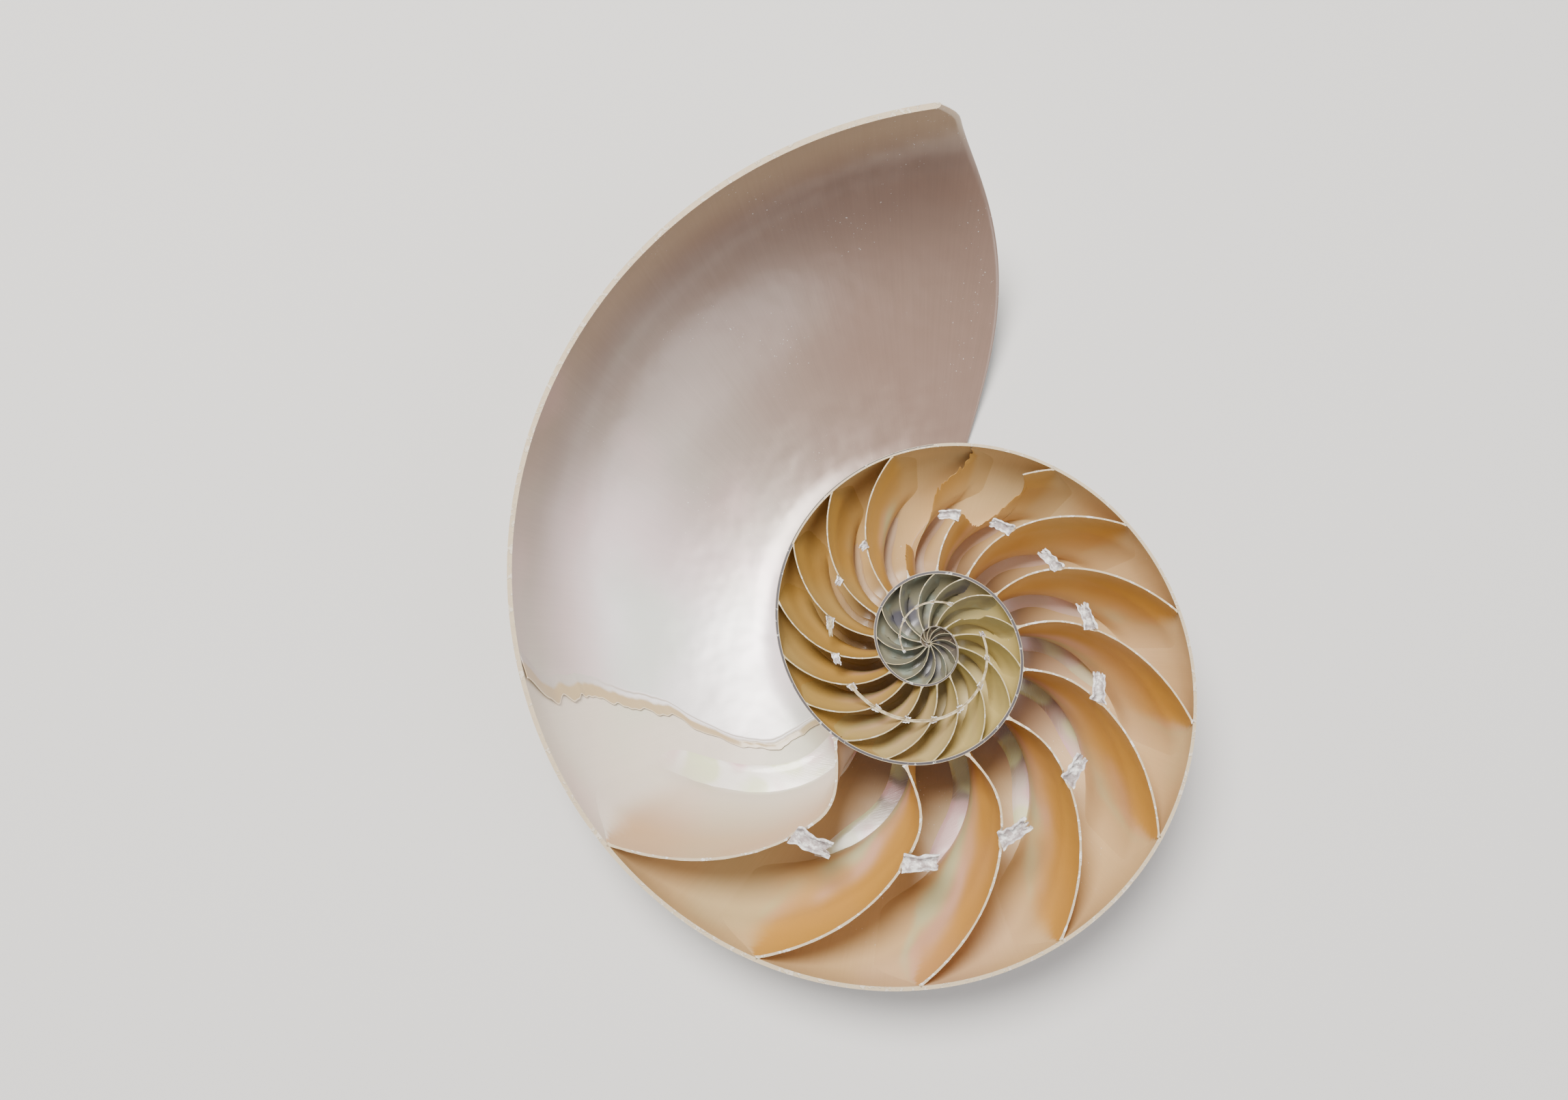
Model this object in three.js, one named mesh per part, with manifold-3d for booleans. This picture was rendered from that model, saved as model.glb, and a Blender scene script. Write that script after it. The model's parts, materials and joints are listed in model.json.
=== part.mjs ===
// One half of a chambered nautilus shell, sawn along its plane of symmetry.
//
// The shell is a tube that winds round a pole and widens by the same ratio with every turn.
// It is drawn in the shell's own frame: the pole stands at the origin along Z, the saw cut is
// the plane Z = 0 and the shell hangs below it, with the keel at the mouth on +Y. A place on
// the shell is given by how far it lies BACK from the mouth, in degrees along the coil (one
// turn back is 360), and by where it lies across the tube. At the end the half is leaned over
// into the pose in which it lies still on a table, cut face up, and is stood on Z = 0.
//
// Millimetres, +Z up.

import * as THREE from 'three';
import { mergeVertices } from 'three/addons/utils/BufferGeometryUtils.js';
import Module from 'manifold-3d';

// ---- the coil -------------------------------------------------------------------------------
const mouthRadius = 91.7;       // pole to keel at the mouth
const turnRatio = 2.8;          // how much wider each turn is than the one inside it
const ovalLong = 1.017;         // the coil is a touch longer one way ...
const ovalShort = 0.983;        // ... than the other
const ovalBack = 35;            // degrees back from the mouth where the long way lies

// ---- the tube -------------------------------------------------------------------------------
const halfWidth = 0.385;        // half the tube's width, as a share of the coil's radius
const widestAt = 0.45;          // how far out from the pole the tube is widest, same share
const keelRoundness = 0.95;     // 1 is an ellipse, less is a fuller curve
const flankRoundness = 0.9;
const callusDepth = 14.5;       // cut face to the callus that plugs the navel of the coil
const wallShare = 0.012;        // wall thickness as a share of the coil's radius
const thinnestWall = 0.5;

// ---- the mouth ------------------------------------------------------------------------------
const mouthBulge = 10;          // degrees the lip swells forward on the flank
const bulgeSharpness = 1.8;     // 1 is a plain sine, more draws the swelling together
const mouthCorner = 2;          // degrees the lip's corner at the keel is rounded over

// ---- the seam, where a turn of the tube meets the flank of the turn inside it -----------------
const seamOut = 0.163;          // distance from the pole, as a share of the coil's radius
const seamDepth = 0.139;        // depth under the cut face, same share
const mouthClearance = 0.25;    // gap over the bare inner turn in front of the mouth
const clearanceFade = 5;        // degrees behind the mouth over which that gap closes

// ---- the partitions ---------------------------------------------------------------------------
const lastPartition = 147;      // degrees back from the mouth to the newest one, at mid tube
const partitionGaps = [         // degrees from each partition to the next older one
  28, 27, 26, 27, 24, 24, 23, 22.5, 23.5, 23, 22.5, 22, 21, 20.5, 20.5, 22, 20, 22,
  26, 26, 24, 25, 25, 24, 24, 23, 23, 23, 23, 23, 23, 23, 23,
];
const partitionShare = 0.0085;  // thickness as a share of the coil's radius
const thinnestPartition = 0.45;
const midTube = 0.7;            // the middle of the tube, as a share of the coil's radius
// Where a partition's edge lies, in degrees from its middle:
const footBehind = 8.2;         // behind it on the inner wall, at the cut face
const keelAhead = 22.3;         // ahead of it on the outer wall, at the cut face
const flankAhead = 26.5;        // ahead of it on the round of the flank
const lobeBehind = 1;           // behind it where the tube is widest
const seamAhead = 3;            // ahead of it at the seam
const footForward = 18;         // extra sweep of the newest partition's foot on the inside turn
const footFade = 3.2;           // partitions over which that extra sweep dies away
const footReach = 0.35;         // share of the tube's height over which it dies away

// ---- the siphon tube's necks, behind the newest partitions -------------------------------------
const neckCount = 9;
const neckAcross = 0.44;        // where they stand between the inner wall (0) and the outer (1)
const neckRadius = 0.026;       // as a share of the coil's radius
const neckBore = 0.6;           // bore as a share of the neck's own radius
const neckLength = 7.5;         // degrees of coil

// ---- breaks: pieces lost from two partitions, as shares of the tube's height and depth -----------
const breaks = [
  { partition: 8, from: 0.5, to: 0.84, deep: 0.3 },
  { partition: 9, from: 0.2, to: 0.93, deep: 0.4 },
];
const pitRadius = 1.4;          // the small pit at the pole, where the coil begins
const pitDepth = 3.5;

// ---- the pose on the table ----------------------------------------------------------------------
const leanAngle = 10.4;         // how far the cut face leans from level
const leanToward = 265;         // compass angle, from +X, of the side that leans down

// ---- how finely the curves are cut into flats -----------------------------------------------------
const bodySteps = 48;           // flats along the outer turn
const sectionSteps = 13;        // flats from the keel to the pole
const livingChamberSteps = { along: 24, across: 6, down: 9 };
const chamberSteps = [          // coarser and coarser from the given partition inward
  { from: 0, along: 3, across: 6, down: 5 },
  { from: 10, along: 2, across: 5, down: 4 },
  { from: 20, along: 2, across: 3, down: 3 },
];
const neckSides = 6;
const overcut = 2;              // how far the cutting solids stand above the cut face
const smallestDetail = 0.02;    // finer corners than this are merged

const wasm = await Module();
wasm.setup();

// ---- places on the shell ------------------------------------------------------------------------

const degrees = THREE.MathUtils.degToRad;
const mix = THREE.MathUtils.lerp;
const clamp01 = (x) => THREE.MathUtils.clamp(x, 0, 1);
const coilRadius = (back) => mouthRadius * turnRatio ** (-back / 360);
const wallThickness = (back) => Math.max(wallShare * coilRadius(back), thinnestWall);

// A point from its distance to the pole, its place along the coil and its depth.
function place(out, back, depth) {
  const angle = degrees(90 + back);
  const long = degrees(90 + ovalBack);
  const along = out * Math.cos(angle - long) * ovalLong;
  const aside = out * Math.sin(angle - long) * ovalShort;
  const x = along * Math.cos(long) - aside * Math.sin(long);
  const y = along * Math.sin(long) + aside * Math.cos(long);
  return new THREE.Vector3(x, y, -depth);
}

// The round outer flank of the tube, from the keel (0) to its widest place (1), in shares of
// the coil's radius.
function flank(turn) {
  const angle = turn * Math.PI / 2;
  return {
    out: widestAt + (1 - widestAt) * Math.cos(angle) ** keelRoundness,
    depth: halfWidth * Math.sin(angle) ** flankRoundness,
  };
}

// The outside of the shell: 0 to flankEnd runs down the flank, the rest dips to the callus.
const flankEnd = 0.7;
function outside(across, back) {
  const radius = coilRadius(back);
  if (across < flankEnd) {
    const { out, depth } = flank(across / flankEnd);
    return place(out * radius, back, depth * radius);
  }
  const rest = (1 - across) / (1 - flankEnd);
  const rise = THREE.MathUtils.smootherstep(rest, 0, 1);
  return place(widestAt * rest * radius, back, mix(callusDepth, halfWidth * radius, rise));
}

// How far forward of the mouth's keel the lip stands, in degrees.
function lipForward(across) {
  const bulge = mouthBulge * Math.sin(Math.PI * across / 1.2) ** bulgeSharpness;
  return bulge + mouthCorner * (1 - (1 - clamp01(across / 0.06)) ** 2);
}

// ---- the cross section of a chamber -----------------------------------------------------------------
// down runs from the cut face (0) to the seam (1); both walls end there.

// The chamber's outer wall, which is the inside of its own turn.
function ownWall(down, back) {
  const radius = coilRadius(back);
  const wall = wallThickness(back);
  if (down < flankEnd) {
    const { out, depth } = flank(down / flankEnd);
    const inward = 1 - down / flankEnd;
    return { out: out * radius - wall * Math.sqrt(inward), depth: depth * (radius - wall) };
  }
  const rest = (1 - down) / (1 - flankEnd);
  const rise = Math.sin(rest * Math.PI / 2) ** 0.8;
  return {
    out: mix(seamOut, widestAt, rest) * radius,
    depth: mix(seamDepth, halfWidth, rise) * (radius - wall),
  };
}

// The chamber's inner wall, which is the outside of the turn it rests on. Past the mouth that
// outside is bare, and the cutting solid passes clear of it.
function innerWall(down, back) {
  const radius = coilRadius(back + 360);
  const clear = mouthClearance * clamp01(1 - back / clearanceFade);
  const { out, depth } = flank(down);
  return { out: out * radius + clear * (1 - down), depth: depth * radius + clear * down };
}

// ---- the partitions -------------------------------------------------------------------------------------

const partitionMiddle = (n) => partitionGaps.slice(0, n).reduce((sum, gap) => sum + gap, lastPartition);

// Degrees that a partition's edge lies behind its middle: on the outer wall, from the cut face
// (0) to the seam (1), where it swings back in a lobe, and on the inner wall.
function outerEdge(down) {
  const onFlank = -mix(keelAhead, flankAhead, clamp01(down / 0.15));
  const lobe = mix(onFlank, lobeBehind, THREE.MathUtils.smoothstep(down, 0.35, 0.71));
  return mix(lobe, -seamAhead, THREE.MathUtils.smoothstep(down, 0.71, 1));
}

const innerEdge = (down) => mix(footBehind, -seamAhead, THREE.MathUtils.smoothstep(down, 0, 1));

// How much of the way from its inner edge to its outer edge a partition has gone.
const domeCurve = (across) => (9 * across + 22 * across ** 2 - 0.5 * across ** 3) / 30.5;

// Degrees back from the mouth of partition n, anywhere on it.
function partitionBack(n, across, down) {
  const curve = mix(innerEdge(down), outerEdge(down), domeCurve(across));
  const foot = footForward * Math.exp(-n / footFade);
  const nearFoot = (1 - clamp01(across / footReach)) ** 2;
  return partitionMiddle(n) + curve - foot * nearFoot * (1 - THREE.MathUtils.smoothstep(down, 0, 0.83));
}

// Thickness of partition n, in degrees of coil at the middle of the tube.
function partitionThickness(n) {
  const radius = coilRadius(partitionMiddle(n));
  const thick = Math.max(partitionShare * radius, thinnestPartition);
  return THREE.MathUtils.radToDeg(thick / (midTube * radius));
}

// ---- closed meshes and solids ---------------------------------------------------------------------------

function toSolid(points, triangles) {
  const positions = new Float32Array(points.flatMap((point) => point.toArray()));
  const loose = new THREE.BufferGeometry();
  loose.setAttribute('position', new THREE.BufferAttribute(positions, 3));
  loose.setIndex(triangles);
  const closed = mergeVertices(loose, 1e-4);
  const corners = closed.index.array;
  const kept = [];
  for (let i = 0; i < corners.length; i += 3) {
    const [a, b, c] = corners.slice(i, i + 3);
    if (a !== b && b !== c && c !== a) kept.push(a, b, c);
  }
  const vertProperties = closed.attributes.position.array;
  return new wasm.Manifold(new wasm.Mesh({
    numProp: 3, vertProperties, triVerts: new Uint32Array(facingOut(vertProperties, kept)),
  }));
}

// Turns every triangle round if the mesh is inside out.
function facingOut(positions, triangles) {
  const corner = (i) => new THREE.Vector3().fromArray(positions, 3 * triangles[i]);
  let volume = 0;
  for (let i = 0; i < triangles.length; i += 3) {
    volume += corner(i).dot(corner(i + 1).cross(corner(i + 2)));
  }
  return volume < 0 ? triangles.toReversed() : triangles;
}

// A block whose corners are bent to any place: at(i, j, k) gives the point of each lattice node.
function bentBlock(along, across, down, at) {
  const index = (i, j, k) => (i * (across + 1) + j) * (down + 1) + k;
  const points = [];
  for (let i = 0; i <= along; i++) {
    for (let j = 0; j <= across; j++) {
      for (let k = 0; k <= down; k++) points.push(at(i / along, j / across, k));
    }
  }
  const triangles = [];
  const quad = (a, b, c, d) => triangles.push(a, b, c, a, c, d);
  for (let j = 0; j < across; j++) {
    for (let k = 0; k < down; k++) {
      quad(index(0, j, k), index(0, j, k + 1), index(0, j + 1, k + 1), index(0, j + 1, k));
      quad(index(along, j, k), index(along, j + 1, k), index(along, j + 1, k + 1), index(along, j, k + 1));
    }
  }
  for (let i = 0; i < along; i++) {
    for (let k = 0; k < down; k++) {
      quad(index(i, 0, k), index(i + 1, 0, k), index(i + 1, 0, k + 1), index(i, 0, k + 1));
      quad(index(i, across, k), index(i, across, k + 1), index(i + 1, across, k + 1), index(i + 1, across, k));
    }
    for (let j = 0; j < across; j++) {
      quad(index(i, j, 0), index(i, j + 1, 0), index(i + 1, j + 1, 0), index(i + 1, j, 0));
      quad(index(i, j, down), index(i + 1, j, down), index(i + 1, j + 1, down), index(i, j + 1, down));
    }
  }
  return toSolid(points, triangles);
}

// ---- the solids of the shell -----------------------------------------------------------------------------

// The whole half, not yet hollow: its outside, the cut face, and a wall across the mouth.
function filledShell() {
  const points = [new THREE.Vector3(0, 0, 0)];
  for (let i = 0; i <= bodySteps; i++) {
    for (let j = 0; j <= sectionSteps; j++) {
      const across = j / sectionSteps;
      const nearMouth = THREE.MathUtils.smoothstep(i / bodySteps, 0.7, 1);
      const back = 358 * (1 - i / bodySteps) - lipForward(across) * nearMouth;
      points.push(outside(across, back));
    }
  }
  const index = (i, j) => 1 + (i % (bodySteps + 1)) * (sectionSteps + 1) + j;
  const triangles = [];
  for (let i = 0; i <= bodySteps; i++) {
    for (let j = 0; j < sectionSteps; j++) {
      const [a, b] = [index(i, j), index(i + 1, j)];
      triangles.push(a, b, b + 1, a, b + 1, a + 1);
    }
    triangles.push(0, index(i + 1, 0), index(i, 0));
  }
  return toSolid(points, triangles);
}

// A hollow of the tube between two faces, each given as degrees back at any place on it. It
// takes in the whole tube, or only a share of its height and depth.
function hollow(steps, newer, older, { from, to, deep } = { from: 0, to: 1, deep: 1 }) {
  return bentBlock(steps.along, steps.across, steps.down + 1, (s, j, k) => {
    const across = mix(from, to, j);
    const down = deep * Math.max(k - 1, 0) / steps.down;
    const back = mix(older(across, down), newer(across, down), s);
    const own = ownWall(down, back);
    const inner = innerWall(down, back);
    const out = mix(inner.out, own.out, across);
    const depth = mix(inner.depth, own.depth, across);
    return place(out, back, k === 0 ? -overcut : depth);
  });
}

function chamber(n) {
  const steps = chamberSteps.findLast(({ from }) => n >= from);
  const newer = (across, down) => partitionBack(n, across, down) + partitionThickness(n) / 2;
  const older = (across, down) => partitionBack(n + 1, across, down) - partitionThickness(n + 1) / 2;
  return hollow(steps, newer, older);
}

function livingChamber() {
  const ahead = () => -32;
  const older = (across, down) => partitionBack(0, across, down) - partitionThickness(0) / 2;
  return hollow(livingChamberSteps, ahead, older);
}

// The piece broken out of a partition.
function breakOut({ partition, ...share }) {
  const reach = 2 * partitionThickness(partition);
  const newer = (across, down) => partitionBack(partition, across, down) - reach;
  const older = (across, down) => partitionBack(partition, across, down) + reach;
  return hollow({ along: 1, across: 4, down: 2 }, newer, older, share);
}

// A stretch of half a round bar along the coil, on the cut face, behind partition n.
function halfBar(n, radius, ahead, behind, lift) {
  const middle = partitionBack(n, neckAcross, 0);
  const wide = radius * coilRadius(middle);
  return bentBlock(1, 1, neckSides, (s, j, k) => {
    const back = mix(middle - ahead, middle + behind, s);
    const centre = mix(coilRadius(back + 360), coilRadius(back), neckAcross);
    const angle = Math.PI * k / neckSides;
    const depth = j * wide * Math.sin(angle);
    return place(centre + j * wide * Math.cos(angle), back, depth > 1e-6 ? depth : -lift);
  });
}

const neck = (n) => halfBar(n, neckRadius, 0, neckLength, 0);
const neckHole = (n) => halfBar(n, neckRadius * neckBore, partitionThickness(n), neckLength + 1, overcut);

function pit() {
  const hole = new THREE.CylinderGeometry(pitRadius, pitRadius, 2 * pitDepth, 8);
  hole.rotateX(Math.PI / 2);
  const points = [];
  const { position } = hole.attributes;
  for (let i = 0; i < position.count; i++) {
    points.push(new THREE.Vector3().fromBufferAttribute(position, i));
  }
  return toSolid(points, [...hole.index.array]);
}

function shellHalf() {
  let solid = filledShell().subtract(livingChamber());
  for (let n = 0; n < partitionGaps.length; n++) solid = solid.subtract(chamber(n));
  for (const gap of breaks) solid = solid.subtract(breakOut(gap));
  for (let n = 0; n < neckCount; n++) solid = solid.add(neck(n)).subtract(neckHole(n));
  return solid.subtract(pit()).simplify(smallestDetail);
}

// ---- the part ----------------------------------------------------------------------------------------------

function toGeometry(solid) {
  const { numProp, vertProperties, triVerts } = solid.getMesh();
  const geometry = new THREE.BufferGeometry();
  const positions = new Float32Array(vertProperties.length / numProp * 3);
  for (let i = 0; i < positions.length / 3; i++) {
    positions.set(vertProperties.subarray(i * numProp, i * numProp + 3), i * 3);
  }
  geometry.setAttribute('position', new THREE.BufferAttribute(positions, 3));
  geometry.setIndex(new THREE.BufferAttribute(new Uint32Array(triVerts), 1));
  geometry.computeVertexNormals();
  return geometry;
}

const pearl = new THREE.MeshStandardMaterial({ color: '#cdb79a', roughness: 0.3, metalness: 0 });
const half = new THREE.Mesh(toGeometry(shellHalf()), pearl);
half.name = 'shell_half';

const part = new THREE.Group();
const toward = new THREE.Vector3(Math.cos(degrees(leanToward)), Math.sin(degrees(leanToward)), 0);
const leanAxis = new THREE.Vector3(0, 0, 1).cross(toward);
half.quaternion.setFromAxisAngle(leanAxis, degrees(leanAngle));
part.add(half);
part.updateMatrixWorld(true);

const box = new THREE.Box3().setFromObject(part, true);
const centre = box.getCenter(new THREE.Vector3());
half.position.set(-centre.x, -centre.y, -box.min.z);

export default part;
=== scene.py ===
"""One half of a sawn chambered nautilus shell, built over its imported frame.

The shell is a tube that winds round a pole and widens by one ratio with every turn. It is
worked out in its own frame: the pole stands on Z, the saw cut is Z = 0, the shell hangs
below it and the keel at the mouth points to +Y. BACK is how far a place lies behind the
mouth, in degrees along the coil, so that one turn is 360. DOWN runs round the tube's wall
from the cut face (0) to the seam on the turn inside it (1). At the end the half is leaned
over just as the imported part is.
"""

import json
import math

import bpy
import numpy as np
from bpy.props import FloatProperty, FloatVectorProperty, IntProperty, PointerProperty
from mathutils import Matrix, Vector


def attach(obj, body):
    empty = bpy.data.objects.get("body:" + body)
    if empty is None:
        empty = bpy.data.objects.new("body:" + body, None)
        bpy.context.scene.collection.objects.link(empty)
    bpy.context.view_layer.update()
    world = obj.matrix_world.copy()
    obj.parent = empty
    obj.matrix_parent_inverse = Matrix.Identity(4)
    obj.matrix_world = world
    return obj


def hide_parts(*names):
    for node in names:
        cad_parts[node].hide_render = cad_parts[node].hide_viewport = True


bl_info = {
    "name": "Nautilus Shell Half",
    "version": (1, 0, 0),
    "blender": (4, 5, 0),
    "location": "3D View > Sidebar > Shell",
    "description": "Builds one half of a sawn chambered nautilus shell over its packed frame",
    "category": "Add Mesh",
}

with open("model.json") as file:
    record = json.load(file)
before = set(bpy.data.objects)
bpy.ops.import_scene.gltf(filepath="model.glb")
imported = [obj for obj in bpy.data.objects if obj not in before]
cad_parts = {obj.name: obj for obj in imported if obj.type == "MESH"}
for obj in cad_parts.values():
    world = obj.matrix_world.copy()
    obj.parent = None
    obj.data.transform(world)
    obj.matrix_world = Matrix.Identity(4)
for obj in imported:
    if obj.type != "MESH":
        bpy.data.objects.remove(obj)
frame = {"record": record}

NODE = "shell_half"
MM = 0.001
TURN = 360
# The share of the way round the wall where the tube is widest.
WIDEST = 0.7
# Degrees from each partition to the next older one.
GAPS = (
    28, 27, 26, 27, 24, 24, 23, 22.5, 23.5, 23, 22.5, 22, 21, 20.5, 20.5, 22, 20, 22,
    26, 26, 24, 25, 25, 24, 24, *[30] * 14,
)  # fmt: skip
BIG_PARTITIONS = 12
# Degrees back of the innermost end of the tube.
INNERMOST = 1240.0
# The partitions that are broken: how far down the tube the break reaches, as pairs of
# the place across the tube (0 inner wall, 1 outer wall) and the place down it.
BREAKS = {
    8: ((0.46, 0), (0.5, 0.2), (0.57, 0.34), (0.66, 0.4), (0.77, 0.34), (0.85, 0.2), (0.87, 0)),
    9: ((0.04, 0), (0.12, 0.12), (0.3, 0.16), (0.4, 0.6), (0.62, 0.55), (0.75, 0.22), (0.9, 0.17),
        (0.97, 0.1), (1.01, 0)),
    22: ((0.3, 0), (0.38, 0.2), (0.6, 0.2), (0.68, 0)),
}  # fmt: skip
# The line where the film is torn: degrees back at the cut face, then how far it falls back,
# each fall with the places down the tube where it starts and ends.
TORN_START = 98.6
TORN_FALLS = ((3.6, 0.0, 0.13), (5.0, 0.25, 0.45), (21.5, 0.42, 0.68))
# In millimetres.
FILM_THICKNESS = 0.14
ROUGHEST_BREAK = 9
# A partition is broken where more than this share of its depth is lost.
BROKEN = 0.03
# Partitions with a strip of pearl along their foot.
STRIPS = 17
# The siphon's necks: the partitions that have one, its length and its width, both over the
# radius that a neck has there.
NECKS = (
    (range(9), 3.6, 0.86),
    (range(10, 12), 1.4, 0.7),
    (range(12, 14), 2.4, 0.86),
    (range(14, 22), 1.5, 0.86),
    (range(23, 29), 1.5, 0.86),
)
# The partitions behind which the siphon's tube is left, and the one where it is broken short.
TUBES = (12, *range(14, 21), *range(23, 28))
SHORT_TUBE = 12
SEED = 7


def tint(code):
    """A colour as light, from the six hex digits that a paint chart gives."""
    parts = [int(code[i : i + 2], 16) / 255 for i in (0, 2, 4)]
    return tuple(c / 12.92 if c < 0.04045 else ((c + 0.055) / 1.055) ** 2.4 for c in parts)


# Lesser colours of the finishes.
# HIGHLIGHT_BLUSH is a painted highlight beside the coil.
HIGHLIGHT_BLUSH = tint("F2DCE6")
SHADED_SLATE = tint("56545B")
PALE_SLATE = tint("8B9385")
FIRST_TURN = tint("4C3B30")
GROWTH_LINE = (0.93, 0.9, 0.88)
CUT_EDGE_TAN = tint("BC9161")
# Near-white of the newest strips: partly their own pale pearl, partly painted highlight.
NEW_STRIP_AND_HIGHLIGHT = (0.96, 0.91, 0.82)
OLD_STRIP = (0.70, 0.53, 0.43)
STRIP_GREEN = tint("DDE6A8")
OLD_EDGE = tint("B5A878")
NECK_SHADE = (0.5, 0.44, 0.45)
NECK_HOLLOW = (0.36, 0.29, 0.27)
TUBE_DARK = (0.36, 0.27, 0.14)
TUBE_PALE = (0.62, 0.53, 0.35)
OLD_PORCELAIN = (0.8, 0.7, 0.6)
PORCELAIN_LINE = (0.78, 0.74, 0.7)
NAVEL_BROWN = tint("9C5424")
BLACK_FILM = (0.035, 0.022, 0.018)
NAVEL_BLUE = (0.34, 0.42, 0.55)
NAVEL_WHITE = (0.86, 0.88, 0.9)
FILM_CREASE = tint("A08A6C")
FILM_TAN = tint("C2A981")
FILM_EDGE = tint("EBDCC2")
FLOOR_GRAIN = (0.5, 0.5, 0.5)
SKY_COLOUR = (0.95, 0.97, 1.0)
FLOOR_SIZE = 6.0
# Of the camera, in millimetres, and the nearest that it sees, in metres.
SENSOR_WIDTH = 36.0
CLIP_START = 0.01
# Degrees back between which the closed chambers change colour.
TO_HONEY = (300, 470)
TO_OLIVE = (470, 560)
TO_SLATE = (640, 730)
TO_FIRST_TURN = (930, 1010)
# Only the newest partition lies ahead of this, from the second number down.
NEWEST = (160, 150)
# How much of a sawn edge is chipped white, on the walls and on the partitions.
WALL_CRUMBS, PARTITION_CRUMBS = 0.3, 0.8


# ---- what can be changed ---------------------------------------------------------------------


def length(name, description, default):
    return FloatProperty(
        name=name,
        description=description,
        default=default,
        subtype="DISTANCE",
        unit="LENGTH",
        precision=5,
    )


def share(name, description, default):
    """A number without a unit."""
    return FloatProperty(name=name, description=description, default=default, precision=4)


def three(name, description, default, subtype):
    return FloatVectorProperty(
        name=name, description=description, default=default, size=3, subtype=subtype
    )


def colour(name, description, code):
    return three(name, description, tint(code), "COLOR")


class ShellSizes(bpy.types.PropertyGroup):
    """Sizes of the shell"""

    mouth_radius: length("Mouth radius", "From the pole to the keel at the mouth", 91.7 * MM)
    turn_ratio: share("Turn ratio", "How much wider each turn is than the one inside it", 2.8)
    half_width: share("Half width", "Half the tube's width, over the coil's radius", 0.385)
    widest_at: share("Widest at", "Where the tube is widest, over the coil's radius", 0.45)
    callus_depth: length("Callus depth", "From the cut face to the callus at the pole", 14.5 * MM)
    wall_share: share("Wall", "Thickness of the wall, over the coil's radius", 0.012)
    thinnest_wall: length("Thinnest wall", "The wall of the inner turns", 0.5 * MM)
    porcelain_share: share("Porcelain layer", "Share of the wall that is porcelain", 0.42)
    partition_share: share("Partition", "Thickness of a partition, over the radius", 0.0085)
    thinnest_partition: length("Thinnest partition", "The oldest partitions", 0.24 * MM)
    newest_partition: share("Newest partition", "Degrees from the mouth to its middle", 147)
    neck_across: share("Neck place", "Where the siphon passes, from inner to outer wall", 0.44)
    neck_radius: share("Neck radius", "Radius of the siphon's neck, over the radius", 0.026)
    seed: IntProperty(name="Seed", description="Picks the chips and tears", default=SEED)


class ShellColours(bpy.types.PropertyGroup):
    """Colours of the shell"""

    pearl: colour("Pearl", "The lining of the living chamber", "C6BBB2")
    # Painted highlight of the living chamber.
    highlight_white: colour("Glow", "The brightest part of the living chamber", "FAF5F5")
    # Partly the lining's own tone, partly painted shade near the mouth.
    taupe: colour("Taupe", "The lining near the mouth", "82695B")
    tan: colour("Tan", "The lining along the keel", "B29A7C")
    cream: colour("Cream", "The torn film and the newest partition", "DCCFBE")
    gold: colour("Gold", "The hollow face of a partition", "C38D3C")
    # Painted shade and bounced light deep in a partition's face.
    amber_shade: colour("Amber", "The deepest part of a partition's face", "A0601A")
    beige: colour("Beige", "The lining of the newer chambers", "CCAA78")
    honey: colour("Honey", "The lining of the older chambers", "AC8440")
    olive: colour("Olive", "The chambers of the second turn", "B3A062")
    slate: colour("Slate", "The chambers of the third turn", "7E7A66")
    # Brown of a chamber's foot, partly painted shade; on the strips it is painted shadow.
    brown_and_shade: colour("Dusk", "The shaded foot of a chamber", "6C452A")
    pink: colour("Pink", "One end of the play of colour", "EABBC0")
    green: colour("Green", "The other end of the play of colour", "B3D4AE")
    sawn: colour("Sawn edge", "The cut edges", "D2BF9E")
    chalk: colour("Chalk", "Chips along the cut edges and the siphon's necks", "F4F1EC")
    ink: colour("Ink", "The dark film between the layers of the inner turns", "35323D")
    porcelain: colour("Porcelain", "The ground of the outside", "EFEAE0")
    flame: colour("Flame", "The middle of a flame stripe", "913F12")
    fringe: colour("Fringe", "The edge of a flame stripe", "CF7F33")


class ShellStage(bpy.types.PropertyGroup):
    """The floor, the lights and the camera"""

    floor: colour("Floor", "The floor and the room", "DCDAD7")
    key_power: FloatProperty(
        name="Key light", description="Power of the light overhead", default=18.0, unit="POWER"
    )
    fill_power: FloatProperty(
        name="Fill light", description="Power of the light from the right", default=4.0, unit="POWER"
    )
    sky: FloatProperty(name="Sky", description="Strength of the room's light", default=0.42)
    lens: FloatProperty(name="Lens", description="Focal length", default=27.44, unit="CAMERA")
    camera_place: three(
        "Camera place",
        "From the pole, in the shell's own frame",
        (-7.47 * MM, -4.33 * MM, 196.98 * MM),
        "TRANSLATION",
    )
    camera_right: three(
        "Camera right",
        "The camera's right, in the shell's own frame",
        (0.99544, 0.04930, -0.08167),
        "DIRECTION",
    )
    camera_up: three(
        "Camera up",
        "The camera's top, in the shell's own frame",
        (-0.04125, 0.99440, 0.09734),
        "DIRECTION",
    )


# ---- small sums ------------------------------------------------------------------------------


def mix(a, b, t):
    return a + (b - a) * t


def clamp(x, low=0.0, high=1.0):
    return np.clip(x, low, high)


def smooth(x, low=0.0, high=1.0):
    t = clamp((x - low) / (high - low))
    return t * t * (3 - 2 * t)


def smoother(x):
    return x**3 * (x * (6 * x - 15) + 10)


def unit(vectors):
    return vectors / np.maximum(np.linalg.norm(vectors, axis=-1, keepdims=True), 1e-12)


def normals(grid):
    """The unit normal at each point of a grid of points."""
    return unit(np.cross(np.gradient(grid, axis=0), np.gradient(grid, axis=1)))


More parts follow.
